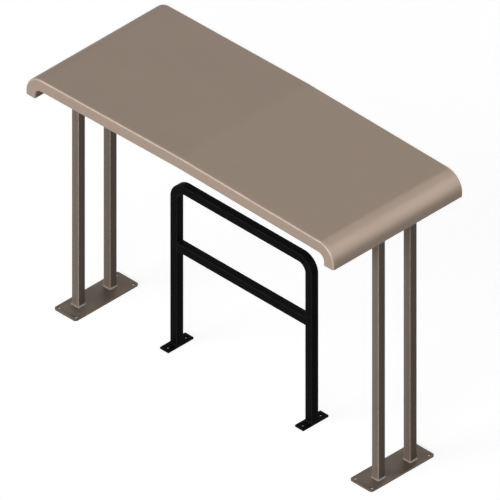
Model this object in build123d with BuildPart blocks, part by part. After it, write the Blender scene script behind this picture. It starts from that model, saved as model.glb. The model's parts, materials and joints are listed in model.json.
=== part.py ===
"""Bike shelter: a boxed steel canopy on four square posts, over a bent-tube bike rack.

Millimetres. The origin is on the ground at the middle of the shelter, +X runs along the
roof's length, +Y across it and +Z up. The roof falls one degree each way from its ridge.
"""

from build123d import *
from math import cos, radians, tan
import os

# Roof: a hollow band, bent down into a lip at each end
roof_length = 1975.0
roof_width = 833.0
ridge_height = 1456.5
roof_slope = 1.0  # degrees, falling to each end
lip_depth = 116.5  # from the slope's line at the end face down to the lip's edge
lip_inner_radius = 38.0  # soffit's bend into the lip
lip_clearance = 10.0  # post to soffit, inside the lip
ridge_bend_radius = 320.0
skin_thickness = 3.0
fascia_thickness = 12.0
fascia_edge_radius = 11.0

# Posts: square tube, in a pair at each end, inside the roof's end skins
post_size = 44.45
post_wall = 3.05
post_corner_radius = 4.8
post_spacing = 203.2
fit_clearance = 0.3  # posts in the lip closers' notches

# Base plates, one under each pair of posts
base_plate_width = 142.0  # along X
base_plate_length = 409.0  # along Y
base_plate_thickness = 9.5
base_plate_corner_radius = 15.0
base_plate_shift = 13.3  # towards the middle of the shelter, from the posts' centre line
anchor_hole_diameter = 16.0
anchor_edge_x = 17.5  # hole centre to the plate's edge
anchor_edge_y = 21.5
post_weld_leg = 6.0
weld_crest = 0.4  # width left at a weld's top, against the tube

# Rack: one tube bent to an upside-down U, with a crossbar and two feet
rack_spacing = 866.0  # centre to centre of the uprights
rack_height = 913.0
rack_tube = 44.45
rack_wall = 3.05
rack_corner_radius = 4.8
rack_bend_radius = 66.0  # at the tube's centre line
crossbar_bottom_height = 535.0
rack_plate_overhang = 5.3  # beyond the tube, along X
rack_plate_length = 164.0  # along Y
rack_plate_thickness = 9.5
rack_plate_corner_radius = 3.0
rack_anchor_diameter = 14.3
rack_anchor_edge = 24.85
rack_weld_leg = 4.8
crossbar_weld_leg = 4.0

# Places worked out from the sizes above
slope = radians(roof_slope)
end_face = roof_length / 2
band_depth = post_size + 2 * skin_thickness + lip_clearance  # outer skin to soffit
end_radius = band_depth + lip_inner_radius
lip_bottom_height = ridge_height - end_face * tan(slope) - lip_depth
skin_half_width = roof_width / 2 - fascia_thickness
post_x = end_face - skin_thickness - post_size / 2
post_y = post_spacing / 2
base_plate_x = post_x - base_plate_shift
anchor_spacing_x = base_plate_width - 2 * anchor_edge_x
anchor_spacing_y = base_plate_length - 2 * anchor_edge_y
lip_straight_top = ridge_height - (end_face - end_radius) * tan(slope) - end_radius / cos(slope)
rack_x = rack_spacing / 2
crossbar_length = rack_spacing - rack_tube
rack_plate_width = rack_tube + 2 * rack_plate_overhang
rack_anchor_spacing = rack_plate_length - 2 * rack_anchor_edge

SIDES = {"left": -1, "right": 1}
FACES = {"front": -1, "back": 1}
pieces = {}


def keep(name, part):
    """Labels a finished piece and puts it on the list to write."""
    part.label = name
    pieces[name] = part


def arch(depth, mode=Mode.ADD):
    """Draws what lies under the roof's outer surface, measured depth inside it, down to the lips."""
    side = end_face - depth
    peak = ridge_height - depth / cos(slope)
    with BuildLine() as outline:
        Polyline(
            (-side, lip_bottom_height),
            (-side, peak - side * tan(slope)),
            (0, peak),
            (side, peak - side * tan(slope)),
            (side, lip_bottom_height),
            close=True,
        )
        fillet(outline.vertices().group_by(Axis.Y)[1], radius=end_radius - depth)
        fillet(outline.vertices().sort_by(Axis.Y)[-1], radius=ridge_bend_radius - depth)
    make_face(outline.edges(), mode=mode)


def square_tube(size, wall, corner_radius):
    """Draws the hollow section of a square tube."""
    RectangleRounded(size, size, corner_radius)
    bore = size - 2 * wall
    Rectangle(bore, bore, mode=Mode.SUBTRACT)


def foot_weld(x, y, height, size, corner_radius, leg):
    """A fillet weld that runs round the foot of a square tube."""
    toe = size + 2 * (leg + weld_crest)
    with BuildPart() as weld:
        with BuildSketch(Plane.XY.offset(height)):
            with Locations((x, y)):
                RectangleRounded(toe, toe, corner_radius + leg + weld_crest)
        extrude(amount=leg, taper=45)
        with BuildSketch(Plane.XY.offset(height)):
            with Locations((x, y)):
                RectangleRounded(size, size, corner_radius)
        extrude(amount=leg, mode=Mode.SUBTRACT)
    return weld.part


# Roof skin: one sheet, creased at the ridge and rolled down at both ends
with BuildPart() as roof_skin:
    with BuildSketch(Plane.XZ):
        arch(0)
        arch(skin_thickness, mode=Mode.SUBTRACT)
    extrude(amount=skin_half_width, both=True)
keep("roof_skin", roof_skin.part)

# Soffit: the sheet that closes the band from below, parallel to the skin
with BuildPart() as soffit:
    with BuildSketch(Plane.XZ):
        arch(band_depth - skin_thickness)
        arch(band_depth, mode=Mode.SUBTRACT)
    extrude(amount=skin_half_width, both=True)
keep("soffit", soffit.part)

# Fascias: profiled edge plates, rounded where they meet the outer skin
with BuildPart() as front_fascia:
    with BuildSketch(Plane.XZ.offset(skin_half_width)):
        arch(0)
    extrude(amount=fascia_thickness)
    rim = front_fascia.faces().sort_by(Axis.Y)[0].edges().sort_by(Axis.Z)
    fillet(rim[1:], radius=fascia_edge_radius)
    with BuildSketch(Plane.XZ.offset(skin_half_width)):
        arch(band_depth)
    extrude(amount=fascia_thickness, mode=Mode.SUBTRACT)
keep("front_fascia", front_fascia.part)

with BuildPart() as back_fascia:
    mirror(front_fascia.part, about=Plane.XZ)
keep("back_fascia", back_fascia.part)

for side, sign in SIDES.items():
    # Lip closer: the strip under the lip, notched round the posts
    with BuildPart() as lip_closer:
        with BuildSketch(Plane.XY.offset(lip_bottom_height)):
            with Locations((sign * (end_face - band_depth / 2), 0)):
                Rectangle(band_depth - 2 * skin_thickness, 2 * skin_half_width)
            with Locations((sign * post_x, post_y), (sign * post_x, -post_y)):
                notch = post_size + 2 * fit_clearance
                Rectangle(notch, notch, mode=Mode.SUBTRACT)
        extrude(amount=skin_thickness)
    keep(f"{side}_lip_closer", lip_closer.part)

    # Base plate with its four anchor holes
    with BuildPart() as base_plate:
        with BuildSketch(Plane.XY):
            with Locations((sign * base_plate_x, 0)):
                RectangleRounded(base_plate_width, base_plate_length, base_plate_corner_radius)
        extrude(amount=base_plate_thickness)
        with Locations((sign * base_plate_x, 0, base_plate_thickness)):
            with GridLocations(anchor_spacing_x, anchor_spacing_y, 2, 2):
                Hole(anchor_hole_diameter / 2)
    keep(f"{side}_base_plate", base_plate.part)

    for face, turn in FACES.items():
        # Post: from the base plate up to where the lip's skin starts to curve
        with BuildPart() as post:
            with BuildSketch(Plane.XY.offset(base_plate_thickness)):
                with Locations((sign * post_x, turn * post_y)):
                    square_tube(post_size, post_wall, post_corner_radius)
            extrude(amount=lip_straight_top - base_plate_thickness)
        keep(f"{side}_{face}_post", post.part)

        weld = foot_weld(
            sign * post_x,
            turn * post_y,
            base_plate_thickness,
            post_size,
            post_corner_radius,
            post_weld_leg,
        )
        keep(f"{side}_{face}_foot_weld", weld)

# Rack hoop: one square tube, bent twice and standing on its two feet
with BuildPart() as rack_hoop:
    top = rack_height - rack_tube / 2
    with BuildLine(Plane.XZ) as hoop_path:
        FilletPolyline(
            (-rack_x, rack_plate_thickness),
            (-rack_x, top),
            (rack_x, top),
            (rack_x, rack_plate_thickness),
            radius=rack_bend_radius,
        )
    with BuildSketch(Plane.XY.offset(rack_plate_thickness)):
        with Locations((-rack_x, 0)):
            square_tube(rack_tube, rack_wall, rack_corner_radius)
    sweep(path=hoop_path.wires()[0])
keep("rack_hoop", rack_hoop.part)

# Crossbar: square tube butted between the uprights
with BuildPart() as rack_crossbar:
    with BuildSketch(Plane.YZ):
        with Locations((0, crossbar_bottom_height + rack_tube / 2)):
            square_tube(rack_tube, rack_wall, rack_corner_radius)
    extrude(amount=crossbar_length / 2, both=True)
keep("rack_crossbar", rack_crossbar.part)

for side, sign in SIDES.items():
    # Crossbar welds: a fillet along the top and the bottom of the joint with the upright
    flat_width = rack_tube - 2 * rack_corner_radius
    with BuildPart() as crossbar_weld:
        with BuildSketch(Plane.XZ):
            for edge, up in ((crossbar_bottom_height, -1), (crossbar_bottom_height + rack_tube, 1)):
                with BuildLine():
                    root = (sign * crossbar_length / 2, edge)
                    along = (root[0] - sign * crossbar_weld_leg, edge)
                    upright = (root[0], edge + up * crossbar_weld_leg)
                    Polyline(root, along, upright, close=True)
                make_face()
        extrude(amount=flat_width / 2, both=True)
    keep(f"{side}_crossbar_weld", crossbar_weld.part)

    # Rack foot: a narrow plate across the upright, with an anchor hole at each end
    with BuildPart() as rack_plate:
        with BuildSketch(Plane.XY):
            with Locations((sign * rack_x, 0)):
                RectangleRounded(rack_plate_width, rack_plate_length, rack_plate_corner_radius)
        extrude(amount=rack_plate_thickness)
        with Locations((sign * rack_x, 0, rack_plate_thickness)):
            with GridLocations(0, rack_anchor_spacing, 1, 2):
                Hole(rack_anchor_diameter / 2)
    keep(f"{side}_rack_plate", rack_plate.part)

    weld = foot_weld(
        sign * rack_x,
        0,
        rack_plate_thickness,
        rack_tube,
        rack_corner_radius,
        rack_weld_leg,
    )
    keep(f"{side}_rack_weld", weld)

os.makedirs("parts", exist_ok=True)
for name, part in pieces.items():
    export_step(part, f"parts/{name}.step")
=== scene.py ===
"""Bike shelter: a boxed steel canopy on four square posts, over a bent-tube bike rack.

Metres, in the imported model's own frame. Each section makes one piece or group of like pieces.
"""

import json
import math

import bmesh
import bpy
from mathutils import Matrix, Vector


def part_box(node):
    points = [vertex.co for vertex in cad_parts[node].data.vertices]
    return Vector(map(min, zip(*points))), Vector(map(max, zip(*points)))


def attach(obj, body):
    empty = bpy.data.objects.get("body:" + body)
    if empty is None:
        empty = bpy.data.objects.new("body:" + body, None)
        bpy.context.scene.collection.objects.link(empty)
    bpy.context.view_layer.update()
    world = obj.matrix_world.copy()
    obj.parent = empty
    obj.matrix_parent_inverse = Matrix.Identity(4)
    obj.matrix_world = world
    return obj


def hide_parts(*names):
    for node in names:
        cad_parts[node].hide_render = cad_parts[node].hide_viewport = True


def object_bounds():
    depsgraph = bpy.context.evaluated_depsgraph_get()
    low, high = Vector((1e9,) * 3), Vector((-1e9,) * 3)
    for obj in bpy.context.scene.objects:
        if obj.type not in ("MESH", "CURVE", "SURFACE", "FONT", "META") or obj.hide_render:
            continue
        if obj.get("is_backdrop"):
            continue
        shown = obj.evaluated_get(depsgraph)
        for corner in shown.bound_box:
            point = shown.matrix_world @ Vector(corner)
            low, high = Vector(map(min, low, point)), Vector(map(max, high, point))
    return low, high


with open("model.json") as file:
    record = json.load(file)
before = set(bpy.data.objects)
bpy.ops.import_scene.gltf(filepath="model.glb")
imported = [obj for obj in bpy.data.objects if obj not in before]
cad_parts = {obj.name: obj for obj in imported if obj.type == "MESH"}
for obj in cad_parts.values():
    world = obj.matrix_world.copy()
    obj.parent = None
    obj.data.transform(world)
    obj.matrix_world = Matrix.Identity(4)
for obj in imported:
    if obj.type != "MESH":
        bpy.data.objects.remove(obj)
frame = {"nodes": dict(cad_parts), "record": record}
cad_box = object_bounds()

# ---------------------------------------------------------------- camera
# An isometric view from the front right corner, from well above the roof.
# Parallel projection, so that the posts stay parallel and the roof keeps its length.
view_width = 2.268
aim_right = 0.0259  # the view's centre, from the middle of the shelter
aim_up = 0.0074
stand_off = 6.0
sight = 30.0
middle = (cad_box[0] + cad_box[1]) / 2
towards_viewer = Vector((1, -1, 1)).normalized()
view_right = Vector((1, 1, 0)).normalized()
view_up = towards_viewer.cross(view_right)
camera_data = bpy.data.cameras.new("studio_camera")
camera_data.type = "ORTHO"
camera_data.ortho_scale = view_width
camera_data.clip_end = sight
camera = bpy.data.objects.new("studio_camera", camera_data)
bpy.context.scene.collection.objects.link(camera)
aim = middle + aim_right * view_right + aim_up * view_up
camera.location = aim + stand_off * towards_viewer
camera.rotation_euler = towards_viewer.to_track_quat("Z", "Y").to_euler()
bpy.context.scene.camera = camera
bpy.context.scene.view_settings.view_transform = "Standard"


# ---------------------------------------------------------------- ground
# A plain pale studio floor. It shows white, keeps the shelter's soft shadow, and is clear from
# below, so that the undersides of the plates and the roof can be looked at.
def add_node(tree, kind, sockets=None, **settings):
    """Adds a node with its settings, and links or sets its input sockets."""
    node = tree.nodes.new(kind)
    for setting, value in settings.items():
        setattr(node, setting, value)
    for socket, value in (sockets or {}).items():
        if isinstance(value, bpy.types.NodeSocket):
            tree.links.new(value, node.inputs[socket])
        else:
            node.inputs[socket].default_value = value
    return node


def calc(tree, operation, *values):
    """One step of arithmetic between sockets or numbers."""
    sockets = dict(enumerate(values))
    return add_node(tree, "ShaderNodeMath", sockets, operation=operation).outputs[0]


def seen_directly(tree):
    """1 for a ray that shows the background itself, 0 for one that only lights the object."""
    path = add_node(tree, "ShaderNodeLightPath").outputs
    mirrored = calc(tree, "MAXIMUM", path["Is Glossy Ray"], path["Is Transmission Ray"])
    return calc(tree, "MAXIMUM", path["Is Camera Ray"], mirrored)


floor_reach = 15.0
floor_level = -0.0005  # just clear of the plates
floor_lift = 0.87  # brings the lit floor to white, and leaves the shadow showing
floor_colour = (0.30, 0.30, 0.297, 1)

floor_paint = bpy.data.materials.new("studio_floor")
floor_paint.use_nodes = True
tree = floor_paint.node_tree
tree.nodes.clear()
matt = add_node(tree, "ShaderNodeBsdfDiffuse", {"Color": floor_colour})
lift = calc(tree, "MULTIPLY", seen_directly(tree), floor_lift)
glow = add_node(tree, "ShaderNodeEmission", {"Strength": lift})
lit = add_node(tree, "ShaderNodeAddShader", {0: matt.outputs[0], 1: glow.outputs[0]})
clear = add_node(tree, "ShaderNodeBsdfTransparent")
underneath = add_node(tree, "ShaderNodeNewGeometry").outputs["Backfacing"]
sides = {"Fac": underneath, 1: lit.outputs[0], 2: clear.outputs[0]}
floor_shader = add_node(tree, "ShaderNodeMixShader", sides)
add_node(tree, "ShaderNodeOutputMaterial", {"Surface": floor_shader.outputs[0]})

floor_mesh = bpy.data.meshes.new("studio_floor")
floor_corners = [
    (x * floor_reach, y * floor_reach, floor_level)
    for x, y in ((-1, -1), (1, -1), (1, 1), (-1, 1))
]
floor_mesh.from_pydata(floor_corners, [], [(0, 1, 2, 3)])
floor_mesh.materials.append(floor_paint)
floor = bpy.data.objects.new("studio_floor", floor_mesh)
bpy.context.scene.collection.objects.link(floor)
floor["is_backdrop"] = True

# ---------------------------------------------------------------- studio light
# Low, broad lamps from the front and a weak one from the back, in a dim pale room, give colour
# alone: full light on the front, less on the roof, least on the end. Large reflectors give the
# sheen, on the rolled end, the roof and the rounded edges.
room_light = 0.08

# Where each one stands, its strength, how many degrees wide it looks, and whether it lights the
# colours (a lamp) or shows only in the sheen (a reflector)
studio_lamps = {
    "key_light": ((-0.30, -0.88, 0.29), 1.55, 40, True),
    "front_softbox": ((0.02, -0.91, 0.31), 1.10, 60, True),
    "right_softbox": ((0.55, -0.78, 0.24), 1.05, 40, True),
    "back_softbox": ((-0.20, 0.85, 0.22), 0.25, 40, True),
    "end_reflector": ((0.69, 0.577, 0.435), 2.3, 60, False),
    "brow_reflector": ((0.25, 0.577, 0.775), 0.72, 46, False),
    "roof_reflector": ((-0.25, 0.577, 0.78), 0.53, 32, False),
    "edge_reflector": ((-0.577, -0.62, 0.53), 0.6, 30, False),
    "near_reflector": ((0.59, -0.59, 0.55), 2.4, 56, False),
}
for name, (direction, strength, width, lights_colour) in studio_lamps.items():
    lamp_data = bpy.data.lights.new(name, "SUN")
    lamp_data.energy = strength
    lamp_data.angle = math.radians(width)
    lamp = bpy.data.objects.new(name, lamp_data)
    lamp.rotation_euler = Vector(direction).to_track_quat("Z", "Y").to_euler()
    lamp.visible_diffuse = lights_colour
    lamp.visible_glossy = not lights_colour
    bpy.context.scene.collection.objects.link(lamp)

world = bpy.data.worlds.new("pale_room")
world.use_nodes = True
tree = world.node_tree
tree.nodes.clear()
white = calc(tree, "MULTIPLY_ADD", seen_directly(tree), 1 - room_light, room_light)
room = add_node(tree, "ShaderNodeBackground", {"Color": (1, 1, 1, 1), "Strength": white})
add_node(tree, "ShaderNodeOutputWorld", {"Surface": room.outputs[0]})
bpy.context.scene.world = world


# ---------------------------------------------------------------- base plates
# Two flame-cut steel plates, 9.5 mm thick, one under each pair of posts. Each is drilled for four
# 14 mm anchors, has its edges eased, and is powder coated bronze together with its posts.
def shared_effect(name, inputs, outputs):
    """Starts a shader node group with named inputs and outputs."""
    group = bpy.data.node_groups.new(name, "ShaderNodeTree")
    for label, kind in inputs:
        group.interface.new_socket(label, in_out="INPUT", socket_type="NodeSocket" + kind)
    for label, kind in outputs:
        group.interface.new_socket(label, in_out="OUTPUT", socket_type="NodeSocket" + kind)
    return group, add_node(group, "NodeGroupInput").outputs


def noise(tree, place, size, detail=2.0):
    """A cloudy pattern whose blotches are about the given size, from 0 to 1."""
    sockets = {"Vector": place, "Scale": 1 / size, "Detail": detail}
    return add_node(tree, "ShaderNodeTexNoise", sockets).outputs["Fac"]


def rise(tree, value, start, end, low=0.0, high=1.0):
    """Runs from low to high while a value goes from start to end, and no further."""
    sockets = {"Value": value, "From Min": start, "From Max": end, "To Min": low, "To Max": high}
    return add_node(tree, "ShaderNodeMapRange", sockets).outputs[0]


def spread(tree, pattern, low, high):
    """Stretches a cloudy pattern, which seldom leaves 0.35 to 0.65, to run from low to high."""
    return rise(tree, pattern, 0.35, 0.65, low, high)


def powder_coat_effect():
    """Baked powder: a faint orange peel, and a slight drift in shade and gloss."""
    cloud_size = 0.30
    patch_size = 0.09
    peel_size = 0.0042
    fleck_size = 0.0014
    fleck_share = 0.4  # of the drift in shade, beside the clouds
    average = 0.7  # of clouds and flecks together
    gloss_drift = 0.025
    fine_peel = 0.25  # flecks in the peel
    group, given = shared_effect(
        "powder_coat",
        [("Place", "Vector"), ("Paint", "Color"), ("Drift", "Float"), ("Gloss Loss", "Float")],
        [("Paint", "Color"), ("Roughness", "Float"), ("Peel", "Float")],
    )
    clouds = noise(group, given["Place"], cloud_size, detail=3.0)
    flecks = noise(group, given["Place"], fleck_size, detail=1.0)
    mixed = calc(group, "MULTIPLY_ADD", flecks, fleck_share, clouds)
    mixed = calc(group, "SUBTRACT", mixed, average)
    shade = calc(group, "MULTIPLY_ADD", mixed, given["Drift"], 1.0)
    tint = {"Color": given["Paint"], "Value": shade}
    paint = add_node(group, "ShaderNodeHueSaturation", tint).outputs[0]
    patches = noise(group, given["Place"], patch_size)
    patches = spread(group, patches, -gloss_drift, gloss_drift)
    roughness = calc(group, "ADD", given["Gloss Loss"], patches)
    dimples = noise(group, given["Place"], peel_size, detail=1.0)
    peel = calc(group, "MULTIPLY_ADD", flecks, fine_peel, dimples)
    add_node(group, "NodeGroupOutput", {"Paint": paint, "Roughness": roughness, "Peel": peel})
    return group


def edge_wear_and_highlight_effect():
    """Edges and corners, where the coat is thin and gets polished: smoother, and paler, partly as
    wear and partly as a painted highlight.
    """
    edge_reach = 0.0022
    on_the_flat = 0.995  # how alike the eased and the true facing are there
    on_the_edge = 0.90
    gap_size = 0.02
    # how much paler edges and corners are painted, as wear and as a painted highlight
    paler_for_wear_and_highlight = 1.8
    smoother = 0.1
    group, given = shared_effect(
        "edge_wear_and_highlight",
        [
            ("Place", "Vector"),
            ("Paint", "Color"),
            ("Roughness", "Float"),
            ("Corner", "Float"),
            ("Reach", "Float"),
            ("Wear And Highlight", "Float"),
        ],
        [("Paint", "Color"), ("Roughness", "Float")],
    )
    rounded = add_node(group, "ShaderNodeBevel", {"Radius": edge_reach}, samples=4).outputs[0]
    true_normal = add_node(group, "ShaderNodeNewGeometry").outputs["True Normal"]
    turn = {0: rounded, 1: true_normal}
    alike = add_node(group, "ShaderNodeVectorMath", turn, operation="DOT_PRODUCT").outputs["Value"]
    cut = rise(group, alike, on_the_flat, on_the_edge)
    rolled = rise(group, given["Corner"], calc(group, "SUBTRACT", 1.0, given["Reach"]), 1.0)
    broken = spread(group, noise(group, given["Place"], gap_size, detail=4.0), 0.6, 1.0)
    wear_and_highlight = calc(group, "MULTIPLY", calc(group, "MAXIMUM", cut, rolled), broken)
    wear_and_highlight = calc(group, "MULTIPLY", wear_and_highlight, given["Wear And Highlight"])
    tint = {"Color": given["Paint"], "Value": calc(group, "MULTIPLY_ADD", wear_and_highlight, paler_for_wear_and_highlight, 1.0)}
    paint = add_node(group, "ShaderNodeHueSaturation", tint).outputs[0]
    roughness = calc(group, "MULTIPLY_ADD", wear_and_highlight, -smoother, given["Roughness"])
    add_node(group, "NodeGroupOutput", {"Paint": paint, "Roughness": roughness})
    return group


def dust_effect():
    """Dust settled on what faces up, and splashed on what is near the ground."""
    earth_colour = (0.36, 0.33, 0.29, 1)
    patch_size = 0.16
    splash_height = 0.16
    splash_size = 0.012
    splash_share = 0.15
    keeps_none = 0.6  # how far up a face points, from 0 to 1
    gloss_loss = 0.25
    group, given = shared_effect(
        "settled_dust",
        [("Place", "Vector"), ("Paint", "Color"), ("Roughness", "Float"), ("Dust", "Float")],
        [("Paint", "Color"), ("Roughness", "Float")],
    )
    normal = add_node(group, "ShaderNodeNewGeometry").outputs["Normal"]
    facing = add_node(group, "ShaderNodeSeparateXYZ", {0: normal}).outputs["Z"]
    patchy = spread(group, noise(group, given["Place"], patch_size, detail=5.0), 0.3, 1.0)
    settled = calc(group, "MULTIPLY", rise(group, facing, keeps_none, 1.0), patchy)
    height = add_node(group, "ShaderNodeSeparateXYZ", {0: given["Place"]}).outputs["Z"]
    spots = spread(group, noise(group, given["Place"], splash_size, detail=5.0), 0.0, 1.0)
    splashed = calc(group, "MULTIPLY", rise(group, height, splash_height, 0.0), spots)
    splashed = calc(group, "MULTIPLY", splashed, splash_share)
    film = calc(group, "MULTIPLY", calc(group, "MAXIMUM", settled, splashed), given["Dust"])
    # A Mix node's sockets for colours are 6 and 7 in and 2 out
    earth = {0: film, 6: given["Paint"], 7: earth_colour}
    paint = add_node(group, "ShaderNodeMix", earth, data_type="RGBA").outputs[2]
    roughness = calc(group, "MULTIPLY_ADD", film, gloss_loss, given["Roughness"])
    add_node(group, "NodeGroupOutput", {"Paint": paint, "Roughness": roughness})
    return group


powder_coat = powder_coat_effect()
edge_wear_and_highlight = edge_wear_and_highlight_effect()
settled_dust = dust_effect()


def coated_steel(name, paint, **amounts):
    """Steel under a baked powder coat, in one paint colour and its own amounts of each effect."""
    finish = bpy.data.materials.new(name)
    finish.use_nodes = True
    tree = finish.node_tree
    tree.nodes.clear()
    place = add_node(tree, "ShaderNodeTexCoord").outputs["Object"]
    corner = add_node(tree, "ShaderNodeAttribute", attribute_name="corner").outputs["Fac"]
    coat = add_node(tree, "ShaderNodeGroup", node_tree=powder_coat)
    worn_and_highlit_edges = add_node(tree, "ShaderNodeGroup", node_tree=edge_wear_and_highlight)
    dusty = add_node(tree, "ShaderNodeGroup", node_tree=settled_dust)
    for effect in (coat, worn_and_highlit_edges, dusty):
        tree.links.new(place, effect.inputs["Place"])
    tree.links.new(corner, worn_and_highlit_edges.inputs["Corner"])
    coat.inputs["Paint"].default_value = (*paint, 1)
    coat.inputs["Drift"].default_value = amounts["drift"]
    coat.inputs["Gloss Loss"].default_value = amounts["roughness"]
    worn_and_highlit_edges.inputs["Wear And Highlight"].default_value = amounts["wear_and_highlight"]
    worn_and_highlit_edges.inputs["Reach"].default_value = amounts["reach"]
    dusty.inputs["Dust"].default_value = amounts["dust"]
    for before, after in ((coat, worn_and_highlit_edges), (worn_and_highlit_edges, dusty)):
        tree.links.new(before.outputs["Paint"], after.inputs["Paint"])
        tree.links.new(before.outputs["Roughness"], after.inputs["Roughness"])
    bump = {"Height": coat.outputs["Peel"], "Distance": amounts["peel"], "Strength": 1.0}
    surface = {
        "Base Color": dusty.outputs["Paint"],
        "Roughness": dusty.outputs["Roughness"],
        "Specular IOR Level": amounts["mirror"],
        "Metallic": amounts["flake"],
        "Normal": add_node(tree, "ShaderNodeBump", bump).outputs[0],
    }
    shader = add_node(tree, "ShaderNodeBsdfPrincipled", surface)
    add_node(tree, "ShaderNodeOutputMaterial", {"Surface": shader.outputs[0]})
    return finish


# The rolled corners of the posts are painted paler, as wear and as a painted highlight stripe.
frame_finish = {
    "roughness": 0.42,
    "mirror": 0.06,
    "flake": 0.0,
    "drift": 0.10,
    "wear_and_highlight": 1.05,
    "reach": 0.95,
    "dust": 0.03,
    "peel": 0.00018,
}
bronze_coat = coated_steel("bronze_powder_coat", (0.141, 0.111, 0.089), **frame_finish)


def true_edges(piece):
    """Shades flats as flat and rounded edges as round, from the faces' own areas."""
    piece.data.shade_smooth()
    normals = piece.modifiers.new("flat_faces", "WEIGHTED_NORMAL")
    normals.weight = 100
    normals.keep_sharp = True
    shaded = bpy.data.meshes.new_from_object(
        piece, preserve_all_data_layers=True, depsgraph=bpy.context.evaluated_depsgraph_get()
    )
    piece.modifiers.remove(normals)
    piece.data = shaded
    shaded.name = piece.name


def fit_piece(name, mesh, finish, slot_name, *nodes):
    """Puts a finished mesh in the scene, in place of its CAD nodes."""
    piece = bpy.data.objects.new(name, mesh)
    bpy.context.scene.collection.objects.link(piece)
    mesh.materials.clear()
    mesh.materials.append(finish)
    true_edges(piece)
    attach(piece, "root")
    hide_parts(*nodes)
    return piece


eased_edge = 0.0008
corner_steps = 10
hole_points = 32
same_place = 0.00001  # points nearer than this are one


def round_corners(width, length, radius, steps):
    """Corner points of a rounded rectangle about its own middle, anticlockwise."""
    points = []
    for quarter, (side, end) in enumerate(((1, 1), (-1, 1), (-1, -1), (1, -1))):
        for step in range(steps + 1):
            turn = math.radians(90 * (quarter + step / steps))
            x = side * (width / 2 - radius) + radius * math.cos(turn)
            y = end * (length / 2 - radius) + radius * math.sin(turn)
            points.append((x, y))
    return points


def ring(x, y, radius, points):
    """Points of a circle, anticlockwise."""
    turns = [math.tau * step / points for step in range(points)]
    return [(x + radius * math.cos(turn), y + radius * math.sin(turn)) for turn in turns]


def drilled_plate(node, corner_radius, holes, hole_radius):
    """A flat plate over its CAD node's own box, drilled right through, with eased edges."""
    low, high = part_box(node)
    size, centre = high - low, (low + high) / 2
    outline = bpy.data.curves.new(node, "CURVE")
    outline.dimensions = "2D"
    outline.fill_mode = "BOTH"
    outline.extrude = size.z / 2 - eased_edge
    outline.bevel_depth = eased_edge
    outline.bevel_resolution = 2
    outline.offset = -eased_edge
    loops = [round_corners(size.x, size.y, corner_radius, corner_steps)]
    loops += [ring(x, y, hole_radius, hole_points) for x, y in holes]
    for loop in loops:
        spline = outline.splines.new("POLY")
        spline.points.add(len(loop) - 1)
        spline.use_cyclic_u = True
        for point, (x, y) in zip(spline.points, loop):
            point.co = (x, y, 0, 1)
    blank = bpy.data.objects.new(node + "_outline", outline)
    bpy.context.scene.collection.objects.link(blank)
    cut_out = blank.evaluated_get(bpy.context.evaluated_depsgraph_get())
    mesh = bpy.data.meshes.new_from_object(cut_out)
    bpy.data.objects.remove(blank)
    shell = bmesh.new()
    shell.from_mesh(mesh)
    bmesh.ops.remove_doubles(shell, verts=shell.verts, dist=same_place)
    shell.to_mesh(mesh)
    shell.free()
    mesh.transform(Matrix.Translation(centre))
    return mesh


millimetre = 0.001
plate_corner = 0.015
# Lying flat, the coat shows its metal flake and keeps more dust, which also lightens the tops as
# painted light.
plate_finish = {**frame_finish, "mirror": 0.02, "flake": 0.30, "wear_and_highlight": 0.10, "dust": 0.18}
plate_coat = coated_steel("bronze_coat_on_plates", (0.141, 0.111, 0.086), **plate_finish)
mounts = {mount["name"]: mount for mount in frame["record"]["mounts"]}
for side in ("left", "right"):
    drilling = mounts[side + "_anchor_holes"]["dims"]
    half_x = drilling["spacing_x_mm"] * millimetre / 2
    half_y = drilling["spacing_y_mm"] * millimetre / 2
    holes = [(x, y) for x in (-half_x, half_x) for y in (-half_y, half_y)]
    node = side + "_base_plate"
    mesh = drilled_plate(node, plate_corner, holes, drilling["hole_r_mm"] * millimetre)
    fit_piece("base_plate_" + side, mesh, plate_coat, "frame_paint", node)


# ---------------------------------------------------------------- posts
# Four lengths of 44.45 mm square steel tube with rolled corners, cut square. Each stands on its
# base plate and runs up inside the lip of the roof. Same bronze powder coat as the plates.
def named_input(tree, name, kind, start=None):
    """Adds a named input to a geometry tree."""
    socket = tree.interface.new_socket(name, in_out="INPUT", socket_type="NodeSocket" + kind)
    if start is not None:
        socket.default_value = start
    return socket


def sharp_past(tree, mesh, degrees):
    """Smooth faces, with edges that turn by more than so many degrees left sharp."""
    bend = add_node(tree, "GeometryNodeInputMeshEdgeAngle").outputs["Unsigned Angle"]
    limits = {0: bend, 1: math.radians(degrees)}
    crisp = add_node(tree, "FunctionNodeCompare", limits, operation="GREATER_THAN").outputs[0]
    smooth = {"Geometry": mesh, "Shade Smooth": True}
    smooth = add_node(tree, "GeometryNodeSetShadeSmooth", smooth, domain="FACE").outputs[0]
    sharp = {"Geometry": smooth, "Selection": crisp, "Shade Smooth": False}
    return add_node(tree, "GeometryNodeSetShadeSmooth", sharp, domain="EDGE").outputs[0]


def end_tree(tree, mesh, finish):
    """Closes a geometry tree: real geometry, with its finish."""
    real = add_node(tree, "GeometryNodeRealizeInstances", {"Geometry": mesh}).outputs[0]
    painted = {"Geometry": real, "Material": finish}
    painted = add_node(tree, "GeometryNodeSetMaterial", painted).outputs[0]
    add_node(tree, "NodeGroupOutput", {"Geometry": painted})


section_corners = ("Back Outer", "Front Outer", "Front Inner", "Back Inner")


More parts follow.
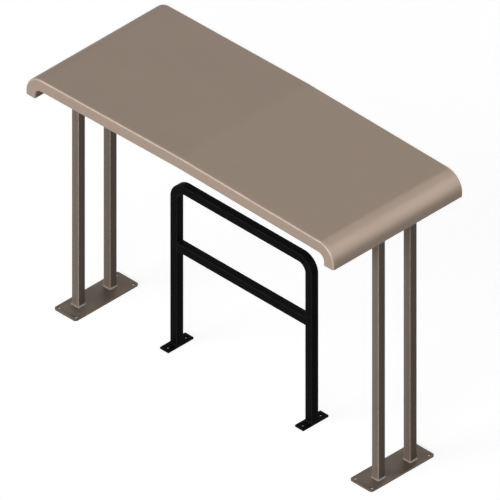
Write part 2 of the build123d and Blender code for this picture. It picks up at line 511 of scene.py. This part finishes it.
def bent_section_tree():
    """A steel section that follows a line and is bent at each of the line's corners.

    Each point of the line carries its bend radius. Width runs along +Y, and depth is measured
    inwards from the line's left-hand side.
    """
    tree = bpy.data.node_groups.new("bent_section", "GeometryNodeTree")
    named_input(tree, "Line", "Geometry")
    named_input(tree, "Width", "Float", 0.04)
    named_input(tree, "Depth", "Float", 0.04)
    named_input(tree, "Shift", "Vector")
    for corner in section_corners:
        named_input(tree, corner + " Radius", "Float", 0.0)
    named_input(tree, "Corner Steps", "Int", 8)
    named_input(tree, "Bend Steps", "Int", 24)
    named_input(tree, "Finish", "Material")
    tree.interface.new_socket("Geometry", in_out="OUTPUT", socket_type="NodeSocketGeometry")
    given = add_node(tree, "NodeGroupInput").outputs

    bends = {
        "Curve": given["Line"],
        "Count": given["Bend Steps"],
        "Radius": add_node(tree, "GeometryNodeInputRadius").outputs[0],
    }
    line = add_node(tree, "GeometryNodeFilletCurve", bends, mode="POLY").outputs[0]
    across = {"Curve": line, "Normal": (0, 1, 0)}
    line = add_node(tree, "GeometryNodeSetCurveNormal", across, mode="FREE").outputs[0]

    blank = {"Width": given["Width"], "Height": given["Depth"]}
    section = add_node(tree, "GeometryNodeCurvePrimitiveQuadrilateral", blank).outputs[0]
    own_radius = add_node(tree, "GeometryNodeIndexSwitch", data_type="FLOAT")
    own_radius.index_switch_items.new()
    own_radius.index_switch_items.new()
    tree.links.new(add_node(tree, "GeometryNodeInputIndex").outputs[0], own_radius.inputs[0])
    for number, corner in enumerate(section_corners):
        tree.links.new(given[corner + " Radius"], own_radius.inputs[number + 1])
    cornered = {"Curve": section, "Radius": own_radius.outputs[0]}
    section = add_node(tree, "GeometryNodeSetCurveRadius", cornered).outputs[0]
    radius = add_node(tree, "GeometryNodeInputRadius").outputs[0]
    rolled = {"Curve": section, "Count": given["Corner Steps"], "Radius": radius}
    section = add_node(tree, "GeometryNodeFilletCurve", rolled, mode="POLY").outputs[0]

    # How far round its corner a point is: 0 at either flat and 1 half way
    heading = add_node(tree, "GeometryNodeInputTangent").outputs[0]
    heading = add_node(tree, "ShaderNodeSeparateXYZ", {0: heading}).outputs
    turned = calc(tree, "ABSOLUTE", calc(tree, "MULTIPLY", heading["X"], heading["Y"]))
    turned = calc(tree, "MULTIPLY", turned, 2.0)
    turned = calc(tree, "MULTIPLY", turned, calc(tree, "GREATER_THAN", radius, 0.0))
    marked = {"Geometry": section, "Name": "corner", "Value": turned}
    marker = add_node(tree, "GeometryNodeStoreNamedAttribute", marked, data_type="FLOAT")
    moved = {"Geometry": marker.outputs[0], "Translation": given["Shift"]}
    section = add_node(tree, "GeometryNodeTransform", moved).outputs[0]

    swept = {"Curve": line, "Profile Curve": section, "Fill Caps": True}
    swept = add_node(tree, "GeometryNodeCurveToMesh", swept).outputs[0]
    end_tree(tree, sharp_past(tree, swept, degrees=40), given["Finish"])
    return tree


def guide_line(name, points, bends, closed=False):
    """The line that a section or a weld follows, with a bend radius at each point."""
    line = bpy.data.curves.new(name, "CURVE")
    line.dimensions = "3D"
    spline = line.splines.new("POLY")
    spline.points.add(len(points) - 1)
    spline.use_cyclic_u = closed
    for point, place, bend in zip(spline.points, points, bends):
        point.co = (*place, 1)
        point.radius = bend
    guide = bpy.data.objects.new(name, line)
    bpy.context.scene.collection.objects.link(guide)
    return guide


def make_along(guide, tree, sizes):
    """Runs a geometry tree along a guide line, and returns the plain mesh."""
    maker = guide.modifiers.new(tree.name, "NODES")
    maker.node_group = tree
    for socket in tree.interface.items_tree:
        if socket.name in sizes:
            maker[socket.identifier] = sizes[socket.name]
    made = guide.evaluated_get(bpy.context.evaluated_depsgraph_get())
    mesh = bpy.data.meshes.new_from_object(made)
    bpy.data.objects.remove(guide)
    return mesh


bent_section = bent_section_tree()
tube_corner = 0.0048


def square_tube(name, points, bends, size, finish):
    """Square tube along a line, in its finish."""
    sizes = {"Width": size, "Depth": size, "Bend Steps": 20, "Finish": finish}
    for corner in section_corners:
        sizes[corner + " Radius"] = tube_corner
    return make_along(guide_line(name, points, bends), bent_section, sizes)


for side in ("left", "right"):
    for face in ("front", "back"):
        node = f"{side}_{face}_post"
        low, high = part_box(node)
        centre = (low + high) / 2
        ends = [(centre.x, centre.y, low.z), (centre.x, centre.y, high.z)]
        mesh = square_tube(node, ends, (0, 0), high.x - low.x, bronze_coat)
        fit_piece(f"post_{side}_{face}", mesh, bronze_coat, "frame_paint", node)


# ---------------------------------------------------------------- foot welds of the posts
# A fillet weld of 6 mm leg right round the foot of each post, laid by hand in close ripples and
# coated over with the rest of the frame.
def weld_bead_tree():
    """A rippled fillet weld along a line: up the line's own upright, and out to its side."""
    slices_a_ripple = 6.0
    ripple_middle = 0.65
    wander_scale = 90.0
    wander_depth = 0.18
    bulge_point = 2  # of the section's points, counted from 0
    bulge_round = 2.6  # the face's roundness, in legs
    tree = bpy.data.node_groups.new("weld_bead", "GeometryNodeTree")
    named_input(tree, "Line", "Geometry")
    named_input(tree, "Upright", "Vector", (0, 0, 1))
    named_input(tree, "Leg", "Float", 0.006)
    named_input(tree, "Crown", "Float", 0.64)
    named_input(tree, "Ripples", "Int", 60)
    named_input(tree, "Ripple Depth", "Float", 0.12)
    named_input(tree, "Bend Steps", "Int", 6)
    named_input(tree, "Face Steps", "Int", 5)
    named_input(tree, "Seed", "Float", 0.0)
    named_input(tree, "Finish", "Material")
    tree.interface.new_socket("Geometry", in_out="OUTPUT", socket_type="NodeSocketGeometry")
    given = add_node(tree, "NodeGroupInput").outputs

    bends = {
        "Curve": given["Line"],
        "Count": given["Bend Steps"],
        "Radius": add_node(tree, "GeometryNodeInputRadius").outputs[0],
    }
    line = add_node(tree, "GeometryNodeFilletCurve", bends, mode="POLY").outputs[0]
    slices = calc(tree, "MULTIPLY", given["Ripples"], slices_a_ripple)
    evenly = {"Curve": line, "Count": slices}
    line = add_node(tree, "GeometryNodeResampleCurve", evenly, mode="COUNT").outputs[0]
    across = {"Curve": line, "Normal": given["Upright"]}
    line = add_node(tree, "GeometryNodeSetCurveNormal", across, mode="FREE").outputs[0]

    along = add_node(tree, "GeometryNodeSplineParameter").outputs["Factor"]
    turns = calc(tree, "MULTIPLY", calc(tree, "MULTIPLY", along, given["Ripples"]), math.pi)
    scallop = calc(tree, "ABSOLUTE", calc(tree, "SINE", turns))
    ripple = calc(tree, "SUBTRACT", scallop, ripple_middle)
    ripple = calc(tree, "MULTIPLY", ripple, given["Ripple Depth"])
    here = add_node(tree, "GeometryNodeInputPosition").outputs[0]
    hand = {"Vector": here, "W": given["Seed"], "Scale": wander_scale, "Detail": 1.0}
    wander = add_node(tree, "ShaderNodeTexNoise", hand, noise_dimensions="4D").outputs["Fac"]
    wander = calc(tree, "MULTIPLY", calc(tree, "SUBTRACT", wander, 0.5), wander_depth)
    swell = calc(tree, "ADD", calc(tree, "ADD", ripple, wander), 1.0)

    crown = calc(tree, "MULTIPLY", given["Leg"], given["Crown"])
    toe_up = add_node(tree, "ShaderNodeCombineXYZ", {"X": given["Leg"]}).outputs[0]
    bulge = add_node(tree, "ShaderNodeCombineXYZ", {"X": crown, "Y": crown}).outputs[0]
    toe_out = add_node(tree, "ShaderNodeCombineXYZ", {"Y": given["Leg"]}).outputs[0]
    points = {"Point 1": (0, 0, 0), "Point 2": toe_up, "Point 3": bulge, "Point 4": toe_out}
    section = add_node(tree, "GeometryNodeCurvePrimitiveQuadrilateral", points, mode="POINTS")
    number = add_node(tree, "GeometryNodeInputIndex").outputs[0]
    at_bulge = calc(tree, "COMPARE", number, bulge_point, 0.1)
    roundness = calc(tree, "MULTIPLY", given["Leg"], bulge_round)
    rounded = {
        "Curve": section.outputs[0],
        "Count": given["Face Steps"],
        "Radius": calc(tree, "MULTIPLY", at_bulge, roundness),
        "Limit Radius": True,
    }
    section = add_node(tree, "GeometryNodeFilletCurve", rounded, mode="POLY").outputs[0]

    laid = {"Curve": line, "Profile Curve": section, "Scale": swell, "Fill Caps": True}
    laid = add_node(tree, "GeometryNodeCurveToMesh", laid).outputs[0]
    end_tree(tree, sharp_past(tree, laid, degrees=60), given["Finish"])
    return tree


weld_bead = weld_bead_tree()


def foot_weld(weld_node, tube_size, leg, seed, finish):
    """The bead round the foot of an upright tube, anticlockwise."""
    low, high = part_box(weld_node)
    centre, half = (low + high) / 2, tube_size / 2
    corners = [
        (centre.x + x * half, centre.y + y * half, low.z)
        for x, y in ((-1, -1), (1, -1), (1, 1), (-1, 1))
    ]
    guide = guide_line(weld_node, corners, [tube_corner] * 4, closed=True)
    sizes = {"Upright": (0, 0, 1), "Leg": leg, "Ripples": 62, "Seed": seed, "Finish": finish}
    return make_along(guide, weld_bead, sizes)


post_weld_leg = 0.006
# The beads' paint is a little paler than the frame's, as a painted highlight on the ripples.
bead_finish = {**frame_finish, "roughness": 0.28, "mirror": 0.60, "wear_and_highlight": 0.15, "peel": 0.00006}
bead_coat_painted_highlight = coated_steel("bronze_coat_on_beads_painted_highlight", (0.150, 0.122, 0.098), **bead_finish)
for number, post in enumerate(("left_front", "left_back", "right_front", "right_back")):
    low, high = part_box(post + "_post")
    node = post + "_foot_weld"
    mesh = foot_weld(node, high.x - low.x, post_weld_leg, 1.0 + number, bead_coat_painted_highlight)
    fit_piece("foot_weld_" + post, mesh, bead_coat_painted_highlight, "frame_paint", node)


# ---------------------------------------------------------------- canopy
# A hollow steel band, creased one degree at the ridge and rolled down at both ends. The skin and
# the soffit are 3 mm sheet, and the edges are rounded to 11 mm and ground flush with the skin.
sheet = 0.003
roof_fall = math.radians(1.0)
ridge_bend = 0.320
soffit_bend = 0.038
edge_round = 0.011

# The rounded edges of the canopy are painted paler, as wear and as a painted highlight line.
roof_finish = {
    "roughness": 0.44,
    "mirror": 0.05,
    "flake": 0.25,
    "drift": 0.06,
    "wear_and_highlight": 0.34,
    "reach": 0.30,
    "dust": 0.02,
    "peel": 0.00018,
}
tan_coat = coated_steel("tan_powder_coat", (0.349, 0.274, 0.217), **roof_finish)
# The underside's coat is painted darker than the roof's, as painted shade under the roof, and is
# duller.
under_finish = {**roof_finish, "mirror": 0.04, "flake": 0.0}
under_coat_painted_shade = coated_steel("tan_coat_underneath_painted_shade", (0.225, 0.172, 0.134), **under_finish)

skin_low, skin_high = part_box("roof_skin")
soffit_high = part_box("soffit")[1]
edge_low, edge_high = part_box("front_fascia")
end_face = skin_high.x
band_depth = end_face - soffit_high.x + sheet
end_bend = band_depth + soffit_bend
peak = skin_high.z + ridge_bend * (1 / math.cos(roof_fall) - 1)
shoulder = peak - end_face * math.tan(roof_fall)
roof_line = [
    (-end_face, 0, skin_low.z),
    (-end_face, 0, shoulder),
    (0, 0, peak),
    (end_face, 0, shoulder),
    (end_face, 0, skin_low.z),
]
roof_bends = (0, end_bend, ridge_bend, end_bend, 0)


def roof_part(name, node, width, depth, middle_y, below_skin, corners, finish):
    """One sheet or edge of the canopy, below_skin down from its outer surface."""
    sizes = {"Width": width, "Depth": depth, "Bend Steps": 30, "Finish": finish}
    sizes["Shift"] = (middle_y, -below_skin - depth / 2, 0)
    for corner, radius in corners.items():
        sizes[corner + " Radius"] = radius
    mesh = make_along(guide_line(name, roof_line, roof_bends), bent_section, sizes)
    return fit_piece(name, mesh, finish, "canopy_paint", node)


skin_width = skin_high.y - skin_low.y
edge_width = edge_high.y - edge_low.y
edge_middle = (edge_low.y + edge_high.y) / 2
eased = {"Front Inner": eased_edge, "Back Inner": eased_edge}
above = band_depth - sheet
roof_part("soffit_sheet", "soffit", skin_width, sheet, 0, above, eased, under_coat_painted_shade)
for face, sign in (("front", 1), ("back", -1)):
    rounded = {face.title() + " Outer": edge_round, **eased}
    place = (edge_width, band_depth, sign * edge_middle, 0)
    roof_part(face + "_edge", face + "_fascia", *place, rounded, tan_coat)
roof_part("roof_sheet", "roof_skin", skin_width, sheet, 0, 0, {}, tan_coat)
# The lip closers take the underside's painted shade too.
for side in ("left", "right"):
    frame["nodes"][side + "_lip_closer"].material_slots[0].material = under_coat_painted_shade


# ---------------------------------------------------------------- rack
# One square tube bent to an upside-down U, with a crossbar welded between its uprights, on two
# narrow drilled feet. It stands by itself under the roof, in a satin black powder coat.
# The rack's edges are painted much paler, a little as wear and mostly as a painted highlight.
rack_finish = {
    "roughness": 0.45,
    "mirror": 0.012,
    "flake": 0.0,
    "drift": 0.25,
    "wear_and_highlight": 2.00,
    "reach": 0.80,
    "dust": 0.004,
    "peel": 0.00018,
}
black_coat = coated_steel("black_powder_coat", (0.0034, 0.0034, 0.0035), **rack_finish)

hoop_bend = 0.066
foot_corner = 0.003
foot_weld_leg = 0.0048
bar_weld_leg = 0.004
hoop_low, hoop_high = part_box("rack_hoop")
tube = hoop_high.y - hoop_low.y
upright_x = hoop_high.x - tube / 2
bar_top = hoop_high.z - tube / 2
hoop_line = [
    (-upright_x, 0, hoop_low.z),
    (-upright_x, 0, bar_top),
    (upright_x, 0, bar_top),
    (upright_x, 0, hoop_low.z),
]
mesh = square_tube("rack_bend", hoop_line, (0, hoop_bend, hoop_bend, 0), tube, black_coat)
fit_piece("rack_tube", mesh, black_coat, "rack_paint", "rack_hoop")

bar_low, bar_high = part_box("rack_crossbar")
bar_z = (bar_low.z + bar_high.z) / 2
ends = [(bar_low.x, 0, bar_z), (bar_high.x, 0, bar_z)]
mesh = square_tube("rack_bar", ends, (0, 0), tube, black_coat)
fit_piece("rack_bar", mesh, black_coat, "rack_paint", "rack_crossbar")

for side, sign in (("left", -1), ("right", 1)):
    drilling = mounts[side + "_rack_anchors"]["dims"]
    half_y = drilling["spacing_y_mm"] * millimetre / 2
    holes = [(0, -half_y), (0, half_y)]
    node = side + "_rack_plate"
    mesh = drilled_plate(node, foot_corner, holes, drilling["hole_r_mm"] * millimetre)
    fit_piece("rack_foot_" + side, mesh, black_coat, "rack_paint", node)

    node = side + "_rack_weld"
    mesh = foot_weld(node, tube, foot_weld_leg, 8.0 + sign, black_coat)
    fit_piece("rack_foot_weld_" + side, mesh, black_coat, "rack_paint", node)

    # A bead lies to the right of the way it runs, seen from the tip of its upright
    node = side + "_crossbar_weld"
    joint = sign * (upright_x - tube / 2)
    flat = tube / 2 - tube_corner
    beads = bmesh.new()
    for height, up in ((bar_high.z, 1), (bar_low.z, -1)):
        way = -sign * up
        ends = [(joint, -way * flat, height), (joint, way * flat, height)]
        sizes = {"Upright": (0, 0, up), "Leg": bar_weld_leg, "Ripples": 14}
        sizes.update({"Seed": 20.0 + sign + up, "Finish": black_coat})
        bead = make_along(guide_line(node, ends, (0, 0)), weld_bead, sizes)
        beads.from_mesh(bead)
        bpy.data.meshes.remove(bead)
    mesh = bpy.data.meshes.new(node)
    beads.to_mesh(mesh)
    beads.free()
    fit_piece("bar_weld_" + side, mesh, black_coat, "rack_paint", node)


# ---------------------------------------------------------------- sizes and finish
# The CAD model's box and this model's box, side by side.
shown_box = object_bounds()
sizes = {
    "cad": [list(corner) for corner in cad_box],
    "shown": [list(corner) for corner in shown_box],
}
